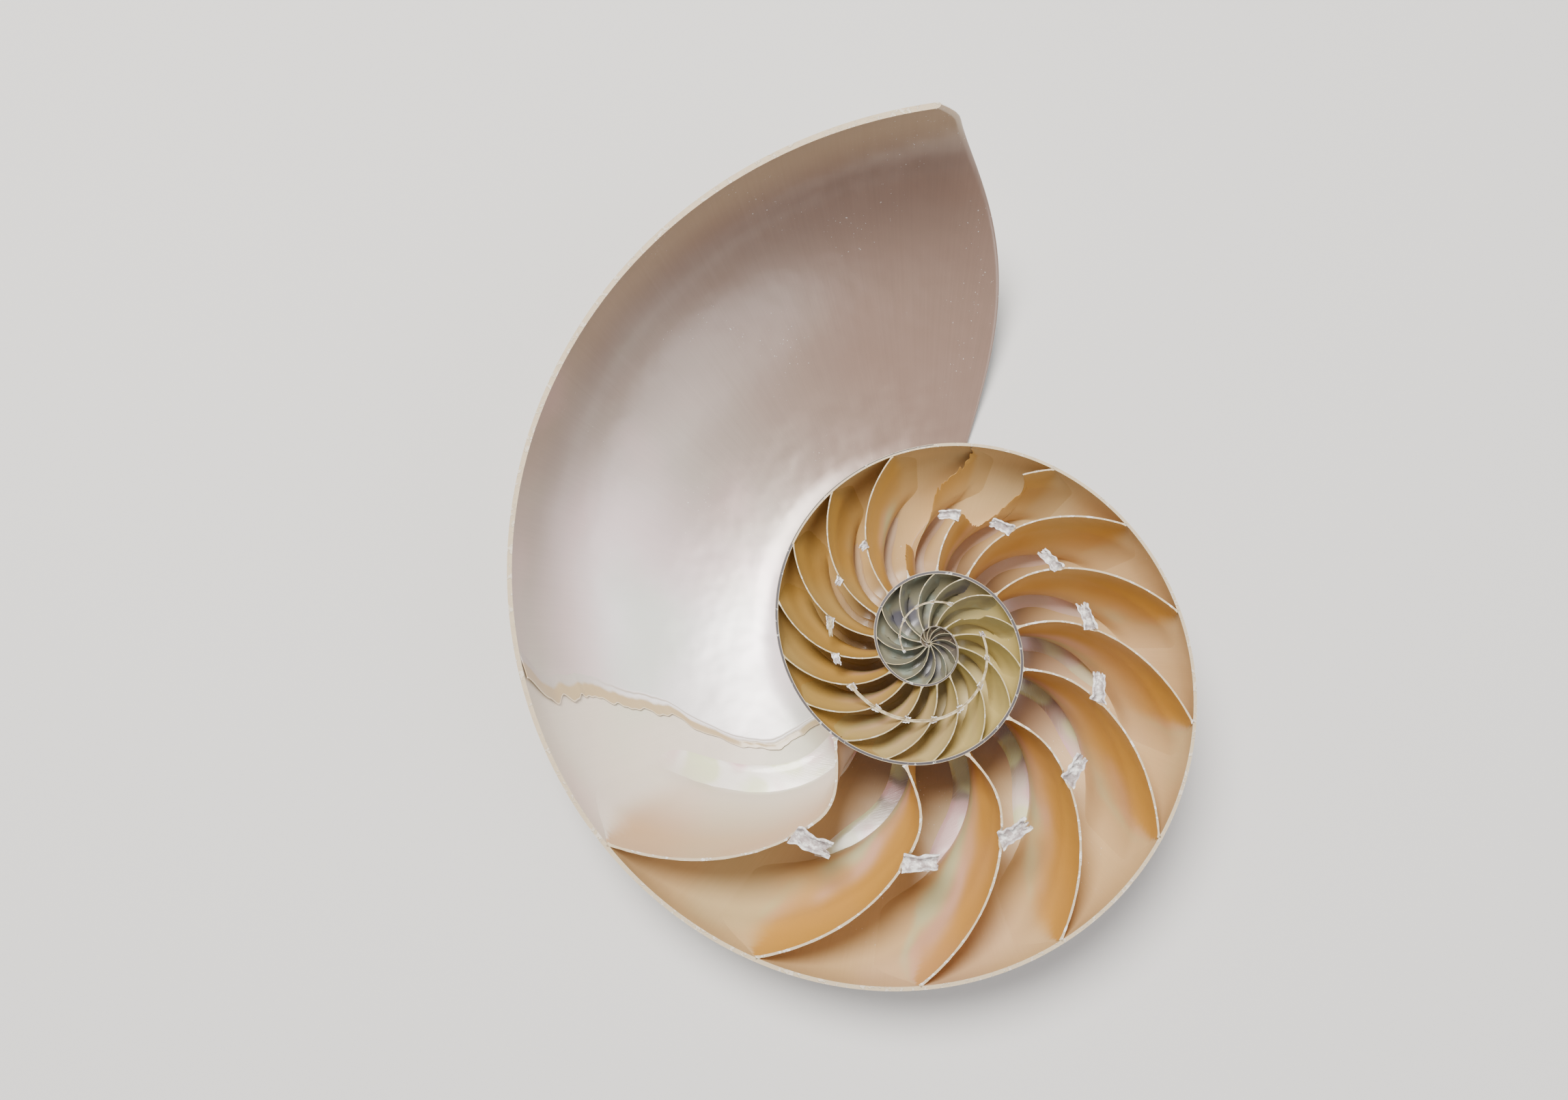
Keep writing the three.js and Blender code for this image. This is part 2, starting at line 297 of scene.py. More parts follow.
def ripple(x, rng, count, lowest, highest):
    """A smooth random line between about -1 and 1, made of count waves. Each has between
    lowest and highest turns to a unit of x."""
    waves = rng.uniform(lowest, highest, count)
    turns = rng.uniform(0, 2 * math.pi, count)
    return sum(np.sin(2 * math.pi * w * x + t) for w, t in zip(waves, turns)) / math.sqrt(count)


# ---- places on the shell ---------------------------------------------------------------------


class Coil:
    """Gives the place of everything on the shell, in its own frame, in metres."""

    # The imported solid's flats lie a little inside these curves, so the curves are drawn in.
    ease = (0.999, 0.999, 0.976)
    # The coil is a little oval, and longest this many degrees back.
    oval_back, oval_long, oval_short = 35, 1.017, 0.983
    # How round the tube is towards the keel and on the flank. 1 is an ellipse.
    keel_round, flank_round = 0.95, 0.9
    # Where the wall meets the turn inside it, over the coil's radius.
    seam_out, seam_depth = 0.158, 0.137
    # Degrees by which the lip stands ahead of the keel, and its small corner at the cut.
    mouth_swell, swell_sharpness, mouth_corner = 10, 1.8, 2
    # Degrees back over which the lip's lead fades.
    lip_fade = 107
    # Degrees by which a partition's edges lie behind or ahead of its middle.
    foot_behind, keel_ahead, flank_ahead, lobe_behind, seam_ahead = 8.2, 22.3, 26.5, 1, 3
    # Degrees by which a partition's foot runs forward. It fades with the partition's number.
    foot_forward, foot_fade, foot_reach = 18, 3.2, 0.35
    # The first turn is wound tighter than the rest, from this many degrees back.
    tight_from, tight_over = 900, 300

    def __init__(self, sizes):
        self.sizes = sizes
        mount = frame["record"]["mounts"][0]
        lean = Vector((0, 0, 1)).rotation_difference(Vector(mount["axis"]))
        self.lean = np.array(lean.to_matrix())
        quarter = TURN / 4
        rim = self.place(self.radius(quarter) - self.wall(quarter) / 2, quarter, 0.0)
        self.pole = np.array(mount["pos_m"]) - self.lean @ rim

    def to_frame(self, points):
        return (points * self.ease) @ self.lean.T + self.pole

    def tightness(self, back):
        return np.exp(-(clamp((back - self.tight_from) / self.tight_over, 0, None) ** 1.5))

    def radius(self, back):
        back = np.asarray(back)
        even = self.sizes.mouth_radius * self.sizes.turn_ratio ** (-back / TURN)
        return even * self.tightness(back)

    def wall(self, back):
        radius = self.radius(back)
        # The first turns, under 10 mm from the pole, are thinner still.
        thin = self.sizes.thinnest_wall * clamp(radius / (10 * MM), 0.3, 1)
        return np.maximum(self.sizes.wall_share * radius, thin)

    def place(self, out, back, depth):
        angle = np.radians(90 + np.asarray(back))
        long = math.radians(90 + self.oval_back)
        along = out * np.cos(angle - long) * self.oval_long
        aside = out * np.sin(angle - long) * self.oval_short
        x = along * math.cos(long) - aside * math.sin(long)
        y = along * math.sin(long) + aside * math.cos(long)
        return np.stack(np.broadcast_arrays(x, y, -np.asarray(depth)), axis=-1)

    def flank(self, turn):
        angle = clamp(turn) * math.pi / 2
        out = mix(self.sizes.widest_at, 1, clamp(np.cos(angle)) ** self.keel_round)
        return out, self.sizes.half_width * clamp(np.sin(angle)) ** self.flank_round

    def outer(self, down, back):
        """The outside of the wall, down to the callus at the pole."""
        radius = self.radius(back)
        out, depth = self.flank(down / WIDEST)
        rest = clamp((1 - down) / (1 - WIDEST))
        dip = mix(self.sizes.callus_depth, self.sizes.half_width * radius, smoother(rest))
        round_part = down < WIDEST
        return self.place(
            np.where(round_part, out, self.sizes.widest_at * rest) * radius,
            back,
            np.where(round_part, depth * radius, dip),
        )

    def own_wall(self, down, back, wall=None):
        """Distance from the pole and depth of the inside of the wall."""
        radius = self.radius(back)
        wall = self.wall(back) if wall is None else wall
        out, depth = self.flank(down / WIDEST)
        inward = np.sqrt(clamp(1 - down / WIDEST))
        rest = clamp((1 - down) / (1 - WIDEST))
        rise = np.sin(rest * math.pi / 2) ** 0.8
        tight = self.tightness(back + TURN) / self.tightness(back)
        seam_out = mix(self.seam_out * tight, self.sizes.widest_at, rest) * radius
        seam_depth = mix(self.seam_depth * tight, self.sizes.half_width, rise) * (radius - wall)
        round_part = down < WIDEST
        return (
            np.where(round_part, out * radius - wall * inward, seam_out),
            np.where(round_part, depth * (radius - wall), seam_depth),
        )

    def lining(self, down, back):
        out, depth = self.own_wall(down, back)
        return self.place(out, back, depth)

    def thin_back(self, down, back):
        """The far side of the wall where it rests on the next turn."""
        out, depth = self.own_wall(down, back, wall=0.0)
        return self.place(out, back, depth + self.wall(back) / 2)

    def inner_wall(self, down, back):
        """Distance from the pole and depth of the turn that a chamber rests on."""
        out, depth = self.flank(down)
        radius = self.radius(back + TURN)
        return out * radius, depth * radius

    def lip(self, down):
        """How far ahead of the keel the lip stands, in degrees."""
        swell = clamp(np.sin(math.pi * down / 1.2)) ** self.swell_sharpness
        return self.mouth_swell * swell + self.mouth_corner * (1 - (1 - clamp(down / 0.06)) ** 2)

    def from_mouth(self, behind, down):
        """Degrees back from the keel, of a place so many degrees behind the lip."""
        return behind - self.lip(down) * (1 - smooth(behind, 0, self.lip_fade))

    def siphon_out(self, back):
        """How far from the pole the siphon runs."""
        return mix(self.radius(back + TURN), self.radius(back), self.sizes.neck_across)

    # -- partitions, each given by its number, counted from the newest ------------------------

    def middle(self, number):
        """Degrees back where the partition meets the siphon, at the cut face."""
        return self.sizes.newest_partition + sum(GAPS[:number])

    def neck_size(self, number):
        """The radius of a neck."""
        return self.sizes.neck_radius * float(self.radius(self.middle(number)))

    def outer_edge(self, down):
        """Degrees by which the edge on the outer wall lies behind the middle."""
        on_flank = -mix(self.keel_ahead, self.flank_ahead, clamp(down / 0.15))
        lobe = mix(on_flank, self.lobe_behind, smooth(down, 0.35, 0.71))
        return mix(lobe, -self.seam_ahead, smooth(down, 0.71, 1))

    def partition_back(self, number, across, down):
        """Degrees back of a partition, at a place across the tube and down it."""
        inner_edge = mix(self.foot_behind, -self.seam_ahead, smooth(down))
        near = clamp(across)
        # The profile from the inner wall to the outer one.
        dome = (9 * near + 22 * near**2 - 0.5 * near**3) / 30.5
        foot = self.foot_forward * math.exp(-number / self.foot_fade)
        near_foot = (1 - clamp(across / self.foot_reach)) ** 2 * (1 - smooth(down, 0, 0.83))
        curve = mix(inner_edge, self.outer_edge(down), dome)
        return self.middle(number) + curve - foot * near_foot

    def crease(self, number, down):
        """Degrees back where a partition meets the outer wall."""
        return self.middle(number) + self.outer_edge(down)

    def in_tube(self, across, down, back):
        """A place between the inner wall (0) and the outer wall (1)."""
        own_out, own_depth = self.own_wall(down, back)
        inner_out, inner_depth = self.inner_wall(down, back)
        return self.place(
            mix(inner_out, own_out, across), back, mix(inner_depth, own_depth, across)
        )


# ---- meshes ----------------------------------------------------------------------------------


class Solid:
    """Gathers closed sheets into one mesh. Each point keeps its place on the shell in two
    UV maps: "growth" holds two places along the surface, and "through" holds the place
    between the front (0) and the back (1) of the sheet, and its mark. The mark is 1 in the
    closed chambers and 0 in the living chamber on a lining, and the turns from the mouth on
    a partition."""

    def __init__(self, coil):
        self.coil = coil
        self.points, self.faces, self.slots, self.growth, self.through = [], [], [], [], []
        self.count = 0

    def sheet(self, front, behind, growth, mark=0.0, slots=(0, 0, 1), top_slots=None):
        """A closed sheet between two grids of points. slots are the materials of its
        front, its back and its edges, and top_slots those of its first row's edge. mark is
        one number, or one for each point of the grid."""
        rows, columns = front.shape[:2]
        near = self.count + np.arange(rows * columns).reshape(rows, columns)
        far = near + rows * columns
        self.count += 2 * rows * columns

        def quads(a, b, c, d):
            return np.stack([a, b, c, d], axis=-1).reshape(-1, 4)

        edges = [
            quads(near[:-1, 0], far[:-1, 0], far[1:, 0], near[1:, 0]),
            quads(near[:-1, -1], near[1:, -1], far[1:, -1], far[:-1, -1]),
            quads(near[0, :-1], near[0, 1:], far[0, 1:], far[0, :-1]),
            quads(near[-1, :-1], far[-1, :-1], far[-1, 1:], near[-1, 1:]),
        ]
        groups = [
            quads(near[:-1, :-1], near[1:, :-1], near[1:, 1:], near[:-1, 1:]),
            quads(far[:-1, :-1], far[:-1, 1:], far[1:, 1:], far[1:, :-1]),
            np.concatenate(edges),
        ]
        points = np.concatenate([front.reshape(-1, 3), behind.reshape(-1, 3)])
        faces = np.concatenate(groups)
        corners = points[faces - near[0, 0]]
        crosses = np.cross(corners[:, 1] - corners[:, 0], corners[:, 2] - corners[:, 0])
        crosses += np.cross(corners[:, 2] - corners[:, 0], corners[:, 3] - corners[:, 0])
        if np.einsum("ij,ij->", corners[:, 0], crosses) < 0:
            faces = faces[:, ::-1]
        self.points.append(points)
        self.faces.append(faces)
        slot_of_face = np.repeat(slots, [len(group) for group in groups])
        if top_slots is not None:
            # The first row's edge comes after both faces and the two side edges.
            first = 2 * (rows - 1) * (columns - 1) + 2 * (rows - 1)
            slot_of_face[first : first + columns - 1] = top_slots
        self.slots.append(slot_of_face)
        self.growth.append(np.tile(growth.reshape(-1, 2), (2, 1)))
        marks = np.broadcast_to(mark, (rows, columns))
        self.through += [stacked(side, marks).reshape(-1, 2) for side in (0.0, 1.0)]

    def make(self, name, materials, slot, sharp=40):
        """Makes the piece. sharp is the angle from which an edge is shaded sharp."""
        points = self.coil.to_frame(np.concatenate(self.points))
        faces = np.concatenate(self.faces)
        mesh = bpy.data.meshes.new(name)
        mesh.from_pydata(points.tolist(), [], faces.tolist())
        corner_points = np.empty(len(mesh.loops), dtype=np.int32)
        mesh.loops.foreach_get("vertex_index", corner_points)
        for title, values in (("growth", self.growth), ("through", self.through)):
            layer = mesh.uv_layers.new(name=title)
            at_corners = np.concatenate(values)[corner_points]
            layer.uv.foreach_set("vector", at_corners.astype(np.float32).ravel())
        for material in materials:
            mesh.materials.append(material)
        mesh.polygons.foreach_set("material_index", np.concatenate(self.slots))
        mesh.shade_smooth()
        mesh.set_sharp_from_angle(angle=math.radians(sharp))
        if mesh.validate():
            raise RuntimeError(f"{name} has faces that aren't whole")
        piece = bpy.data.objects.new(name, mesh)
        bpy.context.scene.collection.objects.link(piece)
        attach(piece, "root")
        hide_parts(NODE)
        return piece


def grid(rows, columns):
    """Two arrays of the same shape, from the values of the rows and of the columns."""
    return np.meshgrid(rows, columns, indexing="ij")


def stacked(first, second):
    return np.stack(np.broadcast_arrays(first, second), axis=-1)


# ---- finishes --------------------------------------------------------------------------------


class Wire:
    """An output of a node. Python sums on it add Math nodes."""

    def __init__(self, paint, socket):
        self.paint, self.socket = paint, socket

    def __add__(self, other):
        return self.paint.math("ADD", self, other)

    def __sub__(self, other):
        return self.paint.math("SUBTRACT", self, other)

    def __rsub__(self, other):
        return self.paint.math("SUBTRACT", other, self)

    def __mul__(self, other):
        return self.paint.math("MULTIPLY", self, other)

    def __truediv__(self, other):
        return self.paint.math("DIVIDE", self, other)

    __radd__ = __add__
    __rmul__ = __mul__

    def step(self, low, high):
        """0 below low, 1 above high and smooth between. low may be the higher one."""
        return self.paint.node(
            "ShaderNodeMapRange",
            {"interpolation_type": "SMOOTHSTEP"},
            {"Value": self, "From Min": low, "From Max": high},
        )

    def blend(self, amount, colour, how="MIX"):
        """This colour with so much of another laid over it."""
        return self.paint.blend(amount, self, colour, how)


class Paint:
    """A material and the ways in which nodes are added to it."""

    def __init__(self, name):
        self.material = bpy.data.materials.new(name)
        self.material.use_nodes = True
        self.tree = self.material.node_tree
        self.tree.nodes.clear()

    def node(self, kind, settings=None, inputs=None, output=0):
        """Adds a node. output picks which of its outputs is given back, or several of them."""
        node = self.tree.nodes.new(kind)
        for name, value in (settings or {}).items():
            setattr(node, name, value)
        for name, value in (inputs or {}).items():
            if isinstance(value, Wire):
                self.tree.links.new(value.socket, node.inputs[name])
            elif node.inputs[name].type == "RGBA":
                node.inputs[name].default_value = (*value[:3], 1)
            else:
                node.inputs[name].default_value = value
        if isinstance(output, tuple):
            return [Wire(self, node.outputs[i]) for i in output]
        return Wire(self, node.outputs[output]) if len(node.outputs) else None

    def math(self, operation, *values):
        return self.node("ShaderNodeMath", {"operation": operation}, dict(enumerate(values)))

    def blend(self, amount, a, b, how="MIX"):
        return self.node(
            "ShaderNodeMix",
            {"data_type": "RGBA", "blend_type": how},
            {0: amount, 6: a, 7: b},
            output=2,
        )

    def noise(self, where, scale, detail=2.0, roughness=0.5):
        return self.node(
            "ShaderNodeTexNoise",
            {},
            {"Vector": where, "Scale": scale, "Detail": detail, "Roughness": roughness},
        )

    def uv(self, name):
        """The two values of a UV map."""
        place = self.node("ShaderNodeUVMap", {"uv_map": name})
        return self.node("ShaderNodeSeparateXYZ", {}, {0: place}, output=(0, 1))

    def vector(self, x, y):
        return self.node("ShaderNodeCombineXYZ", {}, {0: x, 1: y})

    def body(self):
        """The place in the frame, in metres."""
        return self.node("ShaderNodeTexCoord", output=3)

    def bump(self, height, distance):
        return self.node("ShaderNodeBump", {}, {"Distance": distance, "Height": height})

    def finish(self, **inputs):
        """Ends the material with one surface. base_color sets the socket Base Color."""
        sockets = {
            name.replace("_", " ").title().replace("Ior", "IOR"): value
            for name, value in inputs.items()
        }
        surface = self.node("ShaderNodeBsdfPrincipled", {}, sockets)
        self.node("ShaderNodeOutputMaterial", {}, {"Surface": surface})
        return self.material


def play_of_colour(paint, base, colours, where, strength, scale=38.0):
    """Lays soft pink and green clouds over a colour."""
    cloud = paint.noise(where, scale, 1.5, 0.45)
    pink = cloud.step(0.54, 0.72) * strength
    green = cloud.step(0.46, 0.3) * strength
    tinted = base.blend(pink, colours.pink)
    return tinted.blend(green, colours.green)


def growth_lines(paint, along, across, fine=900.0):
    """Fine lines that run round the tube's wall, between 0 and 1."""
    return paint.noise(paint.vector(along * fine, across * 3.0), 1.0, 3.0, 0.6)


def aged(paint, colours, back, young):
    """The colour of a closed chamber, from that of the newest ones to the oldest."""
    base = paint.blend(back.step(*TO_HONEY), young, colours.honey)
    base = base.blend(back.step(*TO_OLIVE), colours.olive)
    cloud = paint.noise(paint.body(), 190.0, 2.0)
    oldest = paint.blend(cloud.step(0.5, 0.64), colours.slate, SHADED_SLATE)
    oldest = oldest.blend(cloud.step(0.46, 0.36), PALE_SLATE)
    return base.blend(back.step(*TO_SLATE), oldest)


def chamber_colour(paint, colours, back, down):
    """The lining of a closed chamber, with its darker foot, partly painted shade, and the dark first
    turn.
    """
    base = aged(paint, colours, back, colours.beige)
    # The foot by the inner turn goes dark brown: partly its own tone, partly painted shade.
    foot = down.step(0.56, 0.78) * back.step(420, 300)
    base = base.blend(foot * 0.72, colours.brown_and_shade)
    return base.blend(back.step(*TO_FIRST_TURN) * 0.8, FIRST_TURN)


def pearl_lining(colours):
    """The pearl of the living chamber, taupe near the lip, partly painted shade, with a painted
    highlight beside the coil, and that of the closed chambers, where through holds 1."""
    paint = Paint("pearl lining")
    turns, down = paint.uv("growth")
    _, closed = paint.uv("through")
    back = turns * TURN
    where = paint.body()
    drift = paint.noise(where, 26.0, 2.0) - 0.5
    # Taupe towards the lip: partly the pearl's own tone, partly painted shade where the wall turns
    # away from the light.
    lip_tone_and_shade = (back + drift * 50 + down * 18).step(18, 114)
    base = paint.blend(lip_tone_and_shade, colours.taupe, colours.pearl)
    # Painted highlight: near-white pearl where the overhead light is mirrored, pink at its rim.
    bright = (back + drift * 16).step(58, 88) * (down + drift * 0.25).step(0.08, 0.4)
    base = base.blend(bright, colours.highlight_white)
    base = base.blend(bright * (1 - bright) * 1.2, colours.pink)
    # Painted highlight: a pink-white blush beside the coil.
    coil_highlight = down.step(0.64, 0.8) * back.step(50, 75) * back.step(125, 105)
    base = base.blend(coil_highlight * 0.6, HIGHLIGHT_BLUSH)
    keel_band = down.step(0.17, 0.02) * back.step(120, 10)
    base = base.blend(keel_band * 0.75, colours.tan)
    # Behind the torn film the older floor shows.
    torn = sum(down.step(start, end) * fall for fall, start, end in TORN_FALLS)
    behind_film = (back - torn).step(TORN_START - 2.4, TORN_START - 0.8)
    base = base.blend(behind_film, colours.cream)
    base = base.blend(closed, chamber_colour(paint, colours, back, down))
    # The closed chambers and the older floor are duller than the rest.
    satin = paint.math("MAXIMUM", closed, behind_film)
    shown = back.step(36, 62) * 0.26
    base = play_of_colour(paint, base, colours, where, shown - closed * 0.16)
    # Growth lines, and small pale specks in clumps.
    lines = growth_lines(paint, turns, down)
    base = base.blend((lines - 0.5) * 0.3 + 0.12, GROWTH_LINE, "SOFT_LIGHT")
    specks = paint.noise(where, 2600.0, 1.0).step(0.74, 0.78)
    clumps = paint.noise(where, 60.0, 2.0).step(0.52, 0.66)
    base = base.blend(specks * clumps * 0.8, colours.chalk)
    waves = paint.noise(where, 100.0, 2.0, 0.5)
    relief = paint.bump(waves * 0.7 + lines * 0.012, 0.0005)
    return paint.finish(
        base_color=base,
        roughness=0.26 + satin * 0.08 + paint.noise(where, 240.0, 3.0) * 0.12,
        normal=relief,
        metallic=0.2 - satin * 0.2,
        ior=1.58,
        coat_weight=0.5 - satin * 0.25,
        coat_roughness=0.18,
    )


def partition_pearl(colours):
    """The faces of the partitions. growth holds the place across the tube and down it, and
    through holds the turns from the mouth."""
    paint = Paint("partition pearl")
    across, down = paint.uv("growth")
    _, turns = paint.uv("through")
    back = turns * TURN
    where = paint.body()
    drift = (paint.noise(where, 45.0, 2.0) - 0.5) * 0.3
    gold = aged(paint, colours, back, colours.gold)
    pale = chamber_colour(paint, colours, back, down)
    run_out = (down + across * 0.42 + drift).step(0.44, 0.86)
    base = paint.blend(run_out, gold, aged(paint, colours, back, colours.beige))
    # Painted shade and bounced light: the gold deepens to amber deep down by the inner wall.
    deep = (down + drift).step(0.25, 0.7) * across.step(0.55, 0.2)
    base = base.blend(deep * 0.8 * back.step(400, 260), colours.amber_shade)
    # The pearl turns pink and then green where the gold runs out.
    patches = paint.noise(where, 48.0, 2.0).step(0.44, 0.64) * back.step(640, 420)
    pink = run_out.step(0.02, 0.3) * run_out.step(0.7, 0.34) * patches
    green = run_out.step(0.36, 0.7) * run_out.step(1.0, 0.74) * patches
    base = base.blend(pink * 0.32, colours.pink)
    base = base.blend(green * 0.48, colours.green)
    # The newest one is cream, and tan along its cut edge.
    newest = back.step(*NEWEST)
    low = (down + drift * 0.25).step(0.52, 0.06)
    low = paint.blend(low * 0.9, colours.cream, CUT_EDGE_TAN)
    base = base.blend(newest, low)
    low_crease = across.step(0.8, 1.0) * down.step(0.4, 0.55)
    landed = paint.math("MAXIMUM", across.step(0.9, 1.6), low_crease)
    wall = paint.blend(newest, pale, colours.cream)
    base = base.blend(landed, wall)
    base = play_of_colour(paint, base, colours, where, 0.1)
    waves = paint.noise(where, 100.0, 2.0, 0.5)
    grain = paint.noise(where, 1500.0, 2.0)
    relief = paint.bump(waves * 0.7 + grain * 0.03, 0.0005)
    return paint.finish(
        base_color=base,
        roughness=0.34 + paint.noise(where, 240.0, 3.0) * 0.12,
        normal=relief,
        ior=1.58,
        coat_weight=0.25,
        coat_roughness=0.18,
    )


def strip_pearl(colours):
    """The bright strip along a partition's foot: near-white on the newest, partly its own pale pearl
    and partly painted highlight, with painted shadow at the upper end of older ones.
    """
    paint = Paint("strip pearl")
    down, out = paint.uv("growth")
    _, turns = paint.uv("through")
    back = turns * TURN
    where = paint.body()
    pale = paint.blend(back.step(190, 260), NEW_STRIP_AND_HIGHLIGHT, OLD_STRIP)
    pale = aged(paint, colours, back, pale)
    # Painted shadow of the newer partition over the upper end of the older strips.
    shade = down.step(0.56, 0.66) * back.step(150, 175) * back.step(330, 240)
    base = paint.blend(shade * 0.72, pale, colours.brown_and_shade)
    hue = paint.noise(where, 120.0, 1.0)
    bright = back.step(340, 240)
    base = base.blend(hue.step(0.5, 0.6) * bright * 0.8, colours.pink)
    base = base.blend(hue.step(0.49, 0.4) * bright * 0.7, STRIP_GREEN)
    # Hairlines cross the strip.
    brush = paint.noise(paint.vector(down * 300.0 + out * 14.0, out * 1.5), 1.0, 3.0, 0.6)
    base = base.blend(brush.step(0.56, 0.7) * bright * 0.3, colours.chalk)
    floor = paint.blend(back.step(*NEWEST), colours.beige, colours.cream)
    faint = down.step(0.5, 0.36)
    base = base.blend(faint * 0.95, aged(paint, colours, back, floor))
    return paint.finish(
        base_color=base,
        roughness=0.34 - bright * 0.18 + brush * 0.16,
        normal=paint.bump(brush, 0.00005),
        ior=1.7,
        coat_weight=0.1 + bright * 0.5,
        coat_roughness=0.1,
    )


def sawn_edge(colours, crumbs):
    """The sawn edge of a wall or a partition. crumbs is how much of it is chipped white."""
    paint = Paint("sawn edge")
    _, turns = paint.uv("through")
    where = paint.body()
    grain = paint.noise(where, 1400.0, 3.0, 0.6)
    chips = paint.noise(where, 780.0, 3.0, 0.65).step(0.53, 0.6)
    old = (turns * TURN).step(330, 520)
    base = paint.blend(old * 0.85, colours.sawn, OLD_EDGE)
    base = base.blend(grain * 0.5, colours.tan)
    base = base.blend(chips * crumbs * (1 - old * 0.6), colours.chalk)
    return paint.finish(
        base_color=base,
        roughness=0.5 + grain * 0.2,
        normal=paint.bump(chips * 0.6 + grain * 0.5, 0.00012),
        ior=1.5,
    )


def inked_edge(colours):
    """The sawn edge of the inner turns: pale, dark and pale layers."""
    paint = Paint("inked edge")
    through, _ = paint.uv("through")
    where = paint.body()
    wander = (paint.noise(where, 260.0, 2.0) - 0.5) * 0.3
    place = through + wander
    dark = place.step(0.12, 0.36)
    chips = paint.noise(where, 900.0, 3.0, 0.6).step(0.6, 0.66)
    base = paint.blend(dark * 0.95, colours.sawn, colours.ink)
    base = base.blend(chips * 0.5, colours.chalk)
    return paint.finish(
        base_color=base, roughness=0.5, normal=paint.bump(chips, 0.0001), ior=1.5
    )


def chalky_neck(colours):
    """The crumpled necks of the siphon. Their hollow is darker than their outside."""
    paint = Paint("chalky neck")
    through, _ = paint.uv("through")
    where = paint.body()
    grain = paint.noise(where, 900.0, 4.0, 0.65)
    base = paint.blend(grain.step(0.34, 0.6), NECK_SHADE, colours.chalk)
    hollow = through.step(0.45, 0.8) * grain.step(0.62, 0.42)
    base = base.blend(hollow * 0.7, NECK_HOLLOW)
    return paint.finish(
        base_color=base,
        roughness=0.34 + grain * 0.2,
        normal=paint.bump(grain, 0.0004),
        ior=1.5,
        coat_weight=0.25,
        coat_roughness=0.2,
    )


def horny_tube(colours):
    """The thin tan tube between the necks."""
    paint = Paint("horny tube")
    grain = paint.noise(paint.body(), 1100.0, 3.0, 0.6)
    base = paint.blend(grain.step(0.35, 0.65), TUBE_DARK, TUBE_PALE)
    return paint.finish(base_color=base, roughness=0.45, normal=paint.bump(grain, 0.0001))


def flamed_porcelain(colours):
    """The outside: white porcelain with rust-brown flames that run from the navel to the
    keel, many and broad on the older part and none near the mouth."""
    paint = Paint("flamed porcelain")
    turns, down = paint.uv("growth")
    back = turns * TURN
    where = paint.body()
    teeth = paint.noise(paint.vector(turns * 620.0, down * 2.0), 1.0, 3.0, 0.7) - 0.5
    sway = paint.noise(paint.vector(turns * 9.0, down * 3.2), 1.0, 2.0, 0.5) - 0.5
    # The stripes bow back from the navel and again from the keel.
    lifted = down + teeth * 0.055
    bow = lifted * (1 - lifted) * 46.0
    phase = (back + bow + sway * 34.0 + teeth * 1.2) / 15.5
    wave = paint.math("SINE", phase * (2 * math.pi))
    broad = back.step(70, 330) * 0.9 - 0.72
    keel = down.step(0.45, 0.0) * back.step(170, 330) * 0.55
    gaps = (paint.noise(paint.vector(turns * 26.0, down * 5.0), 1.0, 2.0) - 0.42) * 2.6
    level = wave * 0.8 + broad + keel - gaps * back.step(330, 110)
    shown = back.step(52, 84) * down.step(0.99, 0.93)
    level = level - (1 - shown) * 2.0
    fringe = level.step(-0.16, 0.02)
    flame = level.step(0.02, 0.34)
    # Brush-like brown lines round the navel.
    brush = paint.noise(paint.vector(turns * 330.0, down * 7.0), 1.0, 3.0, 0.75)
    near_navel = down.step(0.70, 0.86) * down.step(1.0, 0.975)
    brush = (brush - near_navel * 0.12).step(0.46, 0.3) * near_navel
    brush = brush * back.step(4, 26) * back.step(345, 250)
    lines = growth_lines(paint, turns, down, 1500.0)
    ground = paint.blend(back.step(60, 330) * 0.25, colours.porcelain, OLD_PORCELAIN)
    ground = ground.blend(lines * 0.16, PORCELAIN_LINE)
    base = ground.blend(fringe, colours.fringe)
    base = base.blend(flame, colours.flame)
    base = base.blend(brush * 0.8, NAVEL_BROWN)
    # The black film, with its ragged edge, and the blue-white patch inside it.
    ragged = teeth * 0.12 + (paint.noise(where, 160.0, 3.0) - 0.5) * 0.16
    low = down + ragged * 0.25
    inside = (back + ragged * 60.0).step(331, 338) * low.step(0.96, 0.92)
    patch = (back + ragged * 22.0).step(337, 345) * low.step(0.9, 0.84)
    cloud = paint.noise(where, 70.0, 2.0)
    pale = paint.blend(cloud.step(0.35, 0.65), NAVEL_BLUE, NAVEL_WHITE)
    film = paint.blend(patch, BLACK_FILM, pale)
    base = base.blend(inside, film)
    relief = paint.bump(lines * 0.35 + paint.noise(where, 150.0, 2.0) * 0.5, 0.00025)
    return paint.finish(
        base_color=base,
        roughness=0.2 + lines * 0.12,
        normal=relief,
        ior=1.55,
        coat_weight=0.7,
        coat_roughness=0.07,
    )


def plain_floor(colours):
    paint = Paint("plain floor")
    grain = paint.noise(paint.body(), 900.0, 2.0)
    base = paint.blend(grain * 0.06, colours.floor, FLOOR_GRAIN)
    return paint.finish(base_color=base, roughness=0.75)


# ---- the pieces ------------------------------------------------------------------------------

# Degrees back of the rows at the lip, and where the even rows start.
LIP_ROWS = (0, 0.02, 0.06, 0.12, 0.2, 0.3, 0.42, 0.6, 1, 1.6)
LIP_END = 2.4


def nose(behind):
    """How full the wall is near the lip, which is rounded over."""
    return np.sqrt(clamp(1 - (1 - clamp(behind / 0.5)) ** 2))


def wall_rows(start, end, step):
    """Degrees back of the rows of a wall, close together at the lip."""
    lip = LIP_ROWS if start == 0 else ()
    rows = np.arange(LIP_END if start == 0 else start, end, step)
    return np.array([*lip, *rows, end])


